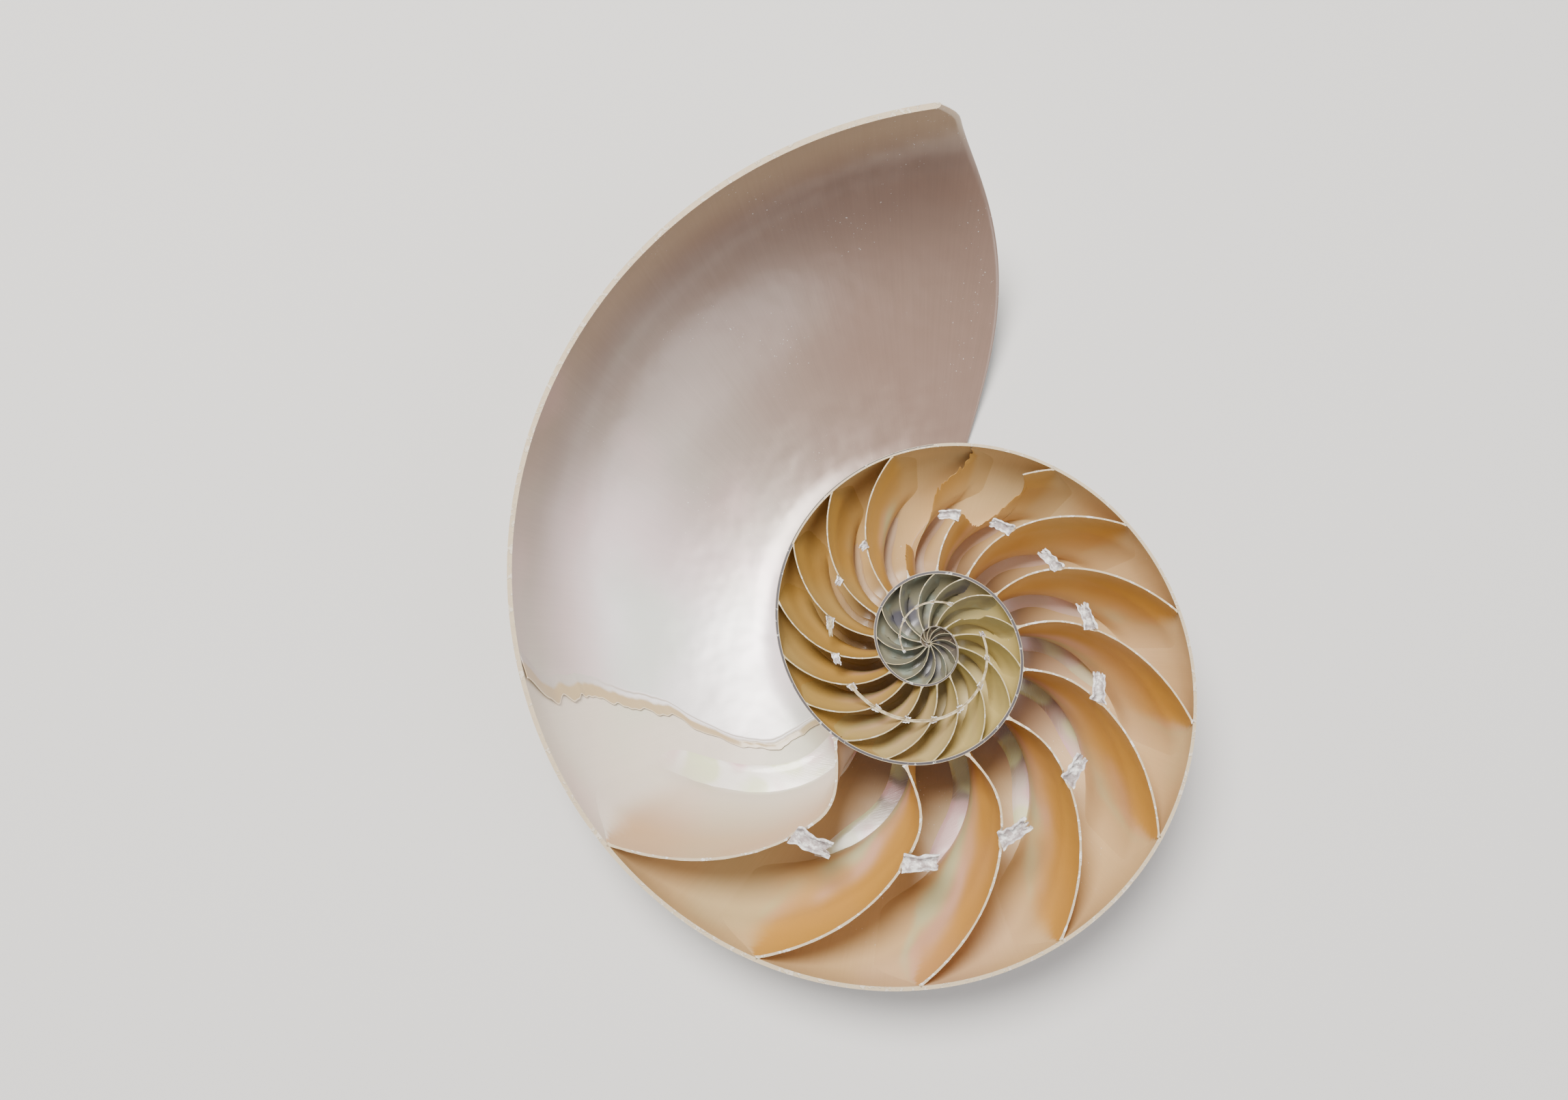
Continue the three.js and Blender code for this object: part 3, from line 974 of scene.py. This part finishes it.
def wall_columns(flank_steps, seam_steps):
    """Places down the wall of its columns, from the cut face to the seam."""
    flank = WIDEST * np.linspace(0, 1, flank_steps + 1)
    return np.concatenate([flank, mix(WIDEST, 1, np.linspace(0, 1, seam_steps + 1)[1:])])


def layers(coil, back, down, covered):
    """The outside of the wall, where its two layers meet, and the lining. Where the next
    turn covers it the wall is thin, all the way to the seam."""
    outside = np.where(covered[..., None], coil.thin_back(down, back), coil.outer(down, back))
    lining = coil.lining(down, back)
    meeting = mix(coil.sizes.porcelain_share, 0.93, smooth(down, WIDEST, 0.85))
    return outside, mix(outside, lining, meeting[..., None]), lining


class SHELL_OT_outer_wall(bpy.types.Operator):
    """Build the porcelain outside of the last turn"""

    bl_idname = "shell.outer_wall"
    bl_label = "Outer wall"

    def execute(self, context):
        coil = Coil(context.scene.shell_sizes)
        colours = context.scene.shell_colours
        behind, down = grid(wall_rows(0, TURN, 1.5), wall_columns(44, 22))
        back = coil.from_mouth(behind, down)
        outside, inside, _ = layers(coil, back, down, covered=np.full(down.shape, False))
        outside = mix(inside, outside, nose(behind)[..., None])
        solid = Solid(coil)
        solid.sheet(outside, inside, stacked(back / TURN, down))
        materials = [flamed_porcelain(colours), sawn_edge(colours, WALL_CRUMBS)]
        solid.make("outer_wall", materials, "porcelain")
        return {"FINISHED"}


class SHELL_OT_lining(bpy.types.Operator):
    """Build the pearl lining of the living chamber and of the closed chambers"""

    bl_idname = "shell.lining"
    bl_label = "Pearl lining"

    def execute(self, context):
        coil = Coil(context.scene.shell_sizes)
        colours = context.scene.shell_colours
        pearl = pearl_lining(colours)
        sawn, inked = sawn_edge(colours, WALL_CRUMBS), inked_edge(colours)
        wide, narrow = wall_columns(44, 22), wall_columns(24, 14)
        lip_rows = wall_rows(0, 100, 1.5) / 100
        even_rows, inner_rows = np.linspace(0, 1, 180), np.linspace(0, 1, 330)
        newest, last_big = coil.crease(0, wide), coil.crease(BIG_PARTITIONS, wide)
        inner = coil.crease(BIG_PARTITIONS, narrow)
        # Each sheet ends under a partition's edge, so that its own edge doesn't show.
        sheets = (
            ("living_chamber_lining", sawn, lip_rows, wide, -coil.lip(wide), newest, 0),
            ("chamber_lining", sawn, even_rows, wide, newest, last_big, 1),
            ("inner_lining", inked, inner_rows, narrow, inner, INNERMOST, 1),
        )
        for name, edge, rows, columns, start, end, closed in sheets:
            part, down = grid(rows, columns)
            back = mix(start, end, part)
            covered = (down > WIDEST) & (back > TURN)
            _, hidden, face = layers(coil, back, down, covered)
            face = mix(hidden, face, nose(back + coil.lip(down))[..., None])
            solid = Solid(coil)
            solid.sheet(face, hidden, stacked(back / TURN, down), mark=closed)
            solid.make(name, [pearl, edge], "pearl")
        return {"FINISHED"}


class SHELL_OT_inner_turns(bpy.types.Operator):
    """Build the walls of the turns inside the last one"""

    bl_idname = "shell.inner_turns"
    bl_label = "Inner turns"

    def execute(self, context):
        coil = Coil(context.scene.shell_sizes)
        colours = context.scene.shell_colours
        back, down = grid(wall_rows(TURN, INNERMOST, 2.0), wall_columns(30, 14))
        outside, inside, _ = layers(coil, back, down, covered=down > WIDEST)
        # Up to the newest partition the coil's outside is in the living chamber.
        closed = back - TURN > coil.partition_back(0, 0.0, clamp(down / WIDEST))
        solid = Solid(coil)
        solid.sheet(outside, inside, stacked(back / TURN, down), mark=closed.astype(float))
        solid.make("inner_turns", [pearl_lining(colours), inked_edge(colours)], "pearl")
        return {"FINISHED"}


def down_at(coil, number, across, depth):
    """The place down the tube where a partition is so deep under the cut face."""
    downs = np.linspace(0, 0.6, 121)
    result = np.empty_like(across)
    for i, (a, d) in enumerate(zip(across, depth)):
        back = coil.partition_back(number, a, downs)
        depths = -coil.in_tube(a, downs, back)[..., 2]
        result[i] = np.interp(d, depths, downs)
    return result


def neck_share(coil, number):
    """Radius of a neck, as a share of the way from the inner wall to the outer one."""
    back = coil.middle(number)
    return coil.sizes.neck_radius / (1 - float(coil.radius(back + TURN) / coil.radius(back)))


def top_edge(coil, number, across, rng):
    """How far down the tube a partition's top edge lies, and how far down it is broken."""
    beside = (across - coil.sizes.neck_across) / neck_share(coil, number)
    notch = np.sqrt(clamp(1 - beside**2)) * coil.neck_size(number)
    top = down_at(coil, number, across, notch)
    if number not in BREAKS:
        return top, np.zeros_like(top)
    at, depth = np.array(BREAKS[number]).T
    lost = np.interp(across, at, depth)
    rough = 0.02 if number == ROUGHEST_BREAK else 0.007
    jagged = lost + rough * ripple(across * 5, rng, 9, 2, 9)
    lost = np.where(lost > BROKEN, np.maximum(jagged, 0.01), lost)
    return np.maximum(top, lost), lost


def places_across(coil, number, fineness):
    """The columns of a partition, closer together at its edges, its neck and its breaks."""
    neck = neck_share(coil, number)
    places = [
        0.5 - 0.5 * np.cos(np.linspace(0, math.pi, fineness)),
        coil.sizes.neck_across + neck * np.linspace(-1.15, 1.15, max(fineness // 3, 7)),
    ]
    if number in BREAKS:
        places.append(np.linspace(0.02, 0.98, 4 * fineness))
    return np.unique(np.concatenate(places).round(4))


def let_into_walls(coil, middle, down, back):
    """Moves a partition's edges into the walls, which are thinner on the flank than at the
    keel. Right under the cut face they go in less."""
    way = unit(middle[:, -1] - middle[:, 0])
    low = down[:, :1]
    under_cut = mix(0.2, 1, smooth(low, 0, 0.03))
    let_in = mix(0.6, 0.08, smooth(low, 0.2, 0.8)) * coil.wall(back[:, :1] + TURN)
    let_out = mix(0.6, 0.2, smooth(low, 0.35, 0.7)) * coil.wall(back[:, -1:])
    middle[:, 0] -= under_cut * let_in * way
    middle[:, -1] += under_cut * let_out * way


def partition_sheet(coil, solid, number, fineness, rng):
    """Adds a partition. fineness is how many columns and rows it is drawn with."""
    sizes = coil.sizes
    radius = float(coil.radius(coil.middle(number)))
    thinnest = sizes.thinnest_partition * clamp(radius / (15 * MM), 0.3, 1)
    thick = max(sizes.partition_share * radius, thinnest)
    across = places_across(coil, number, fineness)
    top, lost = top_edge(coil, number, across, rng)
    part = np.linspace(0, 1, fineness) ** 1.15
    down = mix(top[None, :], 0.985, part[:, None])
    across = np.broadcast_to(across, down.shape)
    back = coil.partition_back(number, across, down)
    middle = coil.in_tube(across, down, back)
    from_inner = np.linalg.norm(middle - middle[:, :1], axis=-1)
    from_outer = np.linalg.norm(middle - middle[:, -1:], axis=-1)
    facing = normals(middle)
    # Along the cut face its thickness stays in the cut face.
    on_cut = -middle[0, :, 2] < 0.001 * MM
    facing[0, on_cut, 2] = 0
    facing = unit(facing)
    # It is thicker where it meets the walls.
    flare = 1.5 * np.exp(-from_inner / (0.9 * thick)) + 0.7 * np.exp(-from_outer / (0.9 * thick))
    flare *= clamp(radius / (20 * MM), 0.2, 1)
    half = thick / 2 * (0.92 + flare)
    # Its cut edge is a little chipped.
    chips = rng.uniform(-0.14, 0.06, half.shape[1]) * thick
    half[0] += np.minimum(chips, 0)
    # A torn edge thins out.
    torn = (lost > BROKEN)[None, :] * np.exp(-((down - top) / 0.03))
    half *= 1 - 0.7 * torn
    let_into_walls(coil, middle, down, back)
    # The front is the side that faces the mouth.
    side = half[..., None] * facing
    ahead = coil.in_tube(across, down, back - 1)
    if np.einsum("ijk,ijk->", side, ahead - middle) < 0:
        side = -side
    front, landed = run_into_wall(coil, middle + side, from_outer, number, down)
    edge_slots = np.where(torn[0, 1:] > 0.5, 0, 1)
    mark = coil.middle(number) / TURN
    growth = stacked(across + landed, down)
    solid.sheet(front, middle - side, growth, mark=mark, top_slots=edge_slots)


def run_into_wall(coil, front, from_outer, number, down):
    """Turns the newer face of a partition smoothly into the outer wall, where it is high
    on the flank. Each row's last stretch becomes a curve from the face to the wall. Also
    gives how far along that curve each point is."""
    line = down[:, -1]
    crease = coil.crease(number, line)
    reach = 0.085 * coil.radius(crease)
    reach = reach * smooth(line, 0.01, 0.14) * (1 - smooth(line, 0.36, 0.5)) + 0.01 * MM
    corner = front[:, -1]
    ahead = crease - np.degrees(reach / coil.radius(crease))
    landing = coil.lining(line, ahead)
    # The curve ends a little inside the wall.
    landing += 0.075 * (landing - coil.in_tube(0.97, line, ahead))
    bent, landed = front.copy(), np.zeros(front.shape[:2])
    for i, length in enumerate(reach):
        near = from_outer[i] < length
        if near.sum() < 2:
            continue
        leaving = corner[i] + unit(front[i, ~near][-1] - corner[i]) * length
        t = (1 - from_outer[i, near] / length)[:, None]
        bent[i, near] = (1 - t) ** 2 * leaving + 2 * t * (1 - t) * corner[i] + t**2 * landing[i]
        landed[i, near] = t[:, 0]
    return bent, landed


def strip_sheet(coil, solid, number, fineness):
    """The strip of pearl that a partition lays on the wall ahead of its edge. That of the
    newest one starts higher and is wider."""
    start, behind, widen = (0.27, 1.6, 1.3) if number == 0 else (0.4, 0.8, 1)
    down, out = grid(np.linspace(start, 0.985, fineness * 2), np.linspace(0, 1, 12) ** 1.3)
    width = mix(7.5, 10.0, smooth(down, 0.35, 0.65)) * (1 - 0.35 * smooth(down, 0.8, 1.0))
    width = width * (0.03 + 0.97 * smooth(down, start, start + 0.2)) * widen
    back = coil.crease(number, down) + behind - out * (width + 0.8)
    floor = coil.lining(down, back)
    up = facing_inward(coil, floor, down, back)
    high = 0.0075 * coil.radius(back) * smooth(down, start + 0.04, start + 0.2)
    rounded = np.sqrt(clamp(1 - smooth(out, 0.86, 1.0)))
    lift = (high * (0.55 + 0.45 * np.exp(-out * 7)) * rounded)[..., None] - 0.02 * MM
    hidden = floor - up * (0.3 * coil.wall(back))[..., None]
    mark = coil.middle(number) / TURN
    solid.sheet(floor + up * lift, hidden, stacked(down, out), mark=mark, slots=(2, 2, 2))


def facing_inward(coil, surface, down, back):
    """The unit normals of a sheet along the wall, on the side of the tube's middle."""
    up = normals(surface)
    inward = coil.in_tube(0.5, down, back) - surface
    return np.where(np.einsum("ijk,ijk->ij", up, inward)[..., None] < 0, -up, up)


class SHELL_OT_partitions(bpy.types.Operator):
    """Build the partitions between the chambers, each with its strip along the wall"""

    bl_idname = "shell.partitions"
    bl_label = "Partitions"

    def execute(self, context):
        coil = Coil(context.scene.shell_sizes)
        colours = context.scene.shell_colours
        rng = np.random.default_rng(coil.sizes.seed)
        materials = [
            partition_pearl(colours),
            sawn_edge(colours, PARTITION_CRUMBS),
            strip_pearl(colours),
        ]
        for number in range(BIG_PARTITIONS):
            solid = Solid(coil)
            partition_sheet(coil, solid, number, 44, rng)
            strip_sheet(coil, solid, number, 24)
            solid.make(f"partition_{number + 1:02d}", materials, "partition")
        solid = Solid(coil)
        for number in range(BIG_PARTITIONS, len(GAPS) + 1):
            partition_sheet(coil, solid, number, 20, rng)
            if number < STRIPS:
                strip_sheet(coil, solid, number, 10)
        solid.make("inner_partitions", materials, "partition")
        return {"FINISHED"}


def half_tube(coil, solid, number, rng, start, end, radius, wall, flare, crumple):
    """A half-round tube along the coil, open at the cut face, between two places given in
    metres behind a partition's cut edge. flare is how much wider it starts, and crumple how
    deep its dents are, both over its radius."""
    begin = coil.partition_back(number, coil.sizes.neck_across, 0.0)
    along, angle = grid(np.linspace(0, 1, 18), np.linspace(0, math.pi, 17))
    ragged = ripple(angle / 3, rng, 6, 1, 6) * 0.35 * radius * smooth(along, 0.5, 1.0)
    run = mix(start, end, along) + ragged
    back = begin + np.degrees(run / coil.siphon_out(begin))
    centre = coil.siphon_out(back)
    widen = 1 + flare * np.exp(-np.maximum(run, 0) / (0.6 * radius))
    dents = 1 + crumple * ripple(along * 1.3 + angle / 9, rng, 6, 0.6, 3.0)
    outer = radius * widen * dents

    def ring(size):
        return coil.place(centre + size * np.cos(angle), back, np.abs(size * np.sin(angle)))

    thin = wall * (1 + 0.3 * ripple(along + angle / 5, rng, 5, 1, 4))
    solid.sheet(ring(outer), ring(outer - thin), stacked(along, angle), slots=(0, 0, 0))


class SHELL_OT_siphon(bpy.types.Operator):
    """Build the necks behind the partitions and what is left of the siphon's tube"""

    bl_idname = "shell.siphon"
    bl_label = "Siphon"

    def execute(self, context):
        coil = Coil(context.scene.shell_sizes)
        colours = context.scene.shell_colours
        rng = np.random.default_rng(coil.sizes.seed + 1)
        necks, tubes = Solid(coil), Solid(coil)
        for numbers, long, wide in NECKS:
            for number in numbers:
                size = coil.neck_size(number)
                ends = {"start": -0.3 * size, "end": long * size}
                half_tube(
                    coil, necks, number, rng, **ends,
                    radius=wide * size, wall=0.3 * size, flare=0.3, crumple=0.1,
                )  # fmt: skip
        for number in TUBES:
            radius = 0.46 * coil.neck_size(number)
            far_out = float(coil.siphon_out(coil.middle(number + 1)))
            long = math.radians(GAPS[number]) * far_out * (0.5 if number == SHORT_TUBE else 1.05)
            half_tube(
                coil, tubes, number, rng, start=0.0, end=long,
                radius=radius, wall=0.45 * radius, flare=0.25, crumple=0.06,
            )  # fmt: skip
        necks.make("siphon_necks", [chalky_neck(colours)], "pearl")
        tubes.make("siphon_tube", [horny_tube(colours)], "pearl")
        return {"FINISHED"}


class SHELL_OT_film(bpy.types.Operator):
    """Build the torn film that lines the back of the living chamber"""

    bl_idname = "shell.film"
    bl_label = "Torn film"

    def execute(self, context):
        coil = Coil(context.scene.shell_sizes)
        rng = np.random.default_rng(coil.sizes.seed + 2)
        down, part = grid(np.linspace(0.003, 0.93, 300), np.linspace(0, 1, 26))
        line = down[:, :1]
        falls = sum(fall * smooth(line, start, end) for fall, start, end in TORN_FALLS)
        calm = TORN_START + falls
        jagged = 0.5 * ripple(line * 2.2, rng, 7, 3, 8) * smooth(line, 0.08, 0.16)
        jagged += 0.25 * ripple(line * 2.2, rng, 6, 9, 22) * smooth(line, 0.16, 0.3)
        back = mix(calm - 5, calm + jagged, part)
        floor = coil.lining(down, back)
        up = facing_inward(coil, floor, down, back)
        # It lifts towards its torn edge, with a ridge before it. The lifts are in millimetres.
        ridge = np.exp(-(((part - 0.42) / 0.09) ** 2)) * smooth(line, 0.26, 0.44)
        curl = 0.42 * smooth(part, 0.1, 1.0) * (1 + 0.2 * ripple(line * 2, rng, 6, 1, 5))
        lift = np.maximum(curl + 0.3 * ridge, 0.02 * part) - 0.03 * (1 - part) ** 4
        face = floor + up * (lift * MM)[..., None]
        hidden = floor + up * ((lift - FILM_THICKNESS) * MM)[..., None]
        solid = Solid(coil)
        solid.sheet(face, hidden, stacked(part, down), slots=(0, 0, 0))
        solid.make("torn_film", [torn_film(context.scene.shell_colours)], "pearl", sharp=30)
        return {"FINISHED"}


def torn_film(colours):
    """The film, from its upper edge, where it is like the lining, to its torn edge."""
    paint = Paint("torn film")
    part, down = paint.uv("growth")
    where = paint.body()
    flecks = paint.noise(where, 420.0, 3.0, 0.6)
    # Where it lies beside the coil the film takes the lining's painted highlight.
    upper = paint.blend(down.step(0.2, 0.5), colours.pearl, colours.highlight_white)
    low = down.step(0.26, 0.42)
    crease = part.step(0.24, 0.31) * part.step(0.38, 0.33) * low
    base = upper.blend(crease * 0.6, FILM_CREASE)
    tan = (part + (flecks - 0.5) * 0.14).step(0.46, 0.62)
    base = base.blend(tan, FILM_TAN)
    base = base.blend(part.step(0.95, 0.985) * 0.8, FILM_EDGE)
    base = play_of_colour(paint, base, colours, where, 0.12, 50.0)
    return paint.finish(
        base_color=base,
        roughness=0.28 + flecks * 0.14,
        normal=paint.bump(flecks * 0.3 + paint.noise(where, 120.0, 2.0), 0.0002),
        ior=1.55,
        coat_weight=0.35,
        coat_roughness=0.15,
    )


class SHELL_OT_stage(bpy.types.Operator):
    """Set the floor, the lights and the camera"""

    bl_idname = "shell.stage"
    bl_label = "Stage"

    def execute(self, context):
        scene = context.scene
        stage = scene.shell_stage
        coil = Coil(scene.shell_sizes)
        bpy.ops.mesh.primitive_plane_add(size=FLOOR_SIZE)
        floor = context.object
        floor.name = "floor"
        floor.data.materials.append(plain_floor(stage))

        right, up = unit(np.array(stage.camera_right)), unit(np.array(stage.camera_up))
        axes = np.array([right, up, np.cross(right, up)]) @ coil.lean.T
        place = coil.lean @ np.array(stage.camera_place) + coil.pole
        camera = bpy.data.objects.new("camera", bpy.data.cameras.new("camera"))
        scene.collection.objects.link(camera)
        matrix = np.eye(4)
        matrix[:3, :3] = axes.T
        matrix[:3, 3] = place
        camera.matrix_world = Matrix(matrix.tolist())
        camera.data.lens = stage.lens
        camera.data.sensor_width = SENSOR_WIDTH
        camera.data.clip_start = CLIP_START
        scene.camera = camera

        # Name, place, width, power and colour.
        lights = (
            ("key", (-0.2, 0.24, 0.9), 0.45, stage.key_power, (1.0, 0.97, 0.93)),
            ("fill", (0.7, -0.3, 0.6), 0.8, stage.fill_power, (0.93, 0.96, 1.0)),
        )
        for name, where, size, power, shade in lights:
            light = bpy.data.lights.new(name, "AREA")
            light.shape = "DISK"
            light.size = size
            light.energy = power
            light.color = shade
            lamp = bpy.data.objects.new(name, light)
            scene.collection.objects.link(lamp)
            lamp.location = where
            lamp.rotation_euler = Vector(where).to_track_quat("Z", "Y").to_euler()

        world = bpy.data.worlds.new("room")
        world.use_nodes = True
        sky = world.node_tree.nodes["Background"]
        sky.inputs["Color"].default_value = (*SKY_COLOUR, 1)
        sky.inputs["Strength"].default_value = stage.sky
        scene.world = world
        return {"FINISHED"}


class SHELL_PT_panel(bpy.types.Panel):
    """Lists the steps that build the shell, with its sizes and colours"""

    bl_idname = "SHELL_PT_panel"
    bl_label = "Nautilus Shell Half"
    bl_space_type = "VIEW_3D"
    bl_region_type = "UI"
    bl_category = "Shell"

    def draw(self, context):
        column = self.layout.column(align=True)
        for step in STEPS:
            column.operator(step.bl_idname)
        for group in SETTINGS:
            settings = getattr(context.scene, group)
            box = self.layout.box()
            for name in settings.__annotations__:
                box.prop(settings, name)


STEPS = (
    SHELL_OT_stage,
    SHELL_OT_outer_wall,
    SHELL_OT_lining,
    SHELL_OT_inner_turns,
    SHELL_OT_partitions,
    SHELL_OT_siphon,
    SHELL_OT_film,
)
SETTINGS = {"shell_sizes": ShellSizes, "shell_colours": ShellColours, "shell_stage": ShellStage}
CLASSES = (*SETTINGS.values(), *STEPS, SHELL_PT_panel)


def register():
    for one in CLASSES:
        bpy.utils.register_class(one)
    for name, group in SETTINGS.items():
        setattr(bpy.types.Scene, name, PointerProperty(type=group))


def unregister():
    for name in SETTINGS:
        delattr(bpy.types.Scene, name)
    for one in reversed(CLASSES):
        bpy.utils.unregister_class(one)


def main():
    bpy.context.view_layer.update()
    register()
    bpy.ops.shell.stage()
    bpy.ops.shell.outer_wall()
    bpy.ops.shell.lining()
    bpy.ops.shell.inner_turns()
    bpy.ops.shell.partitions()
    bpy.ops.shell.siphon()
    bpy.ops.shell.film()


if __name__ == "__main__":
    main()
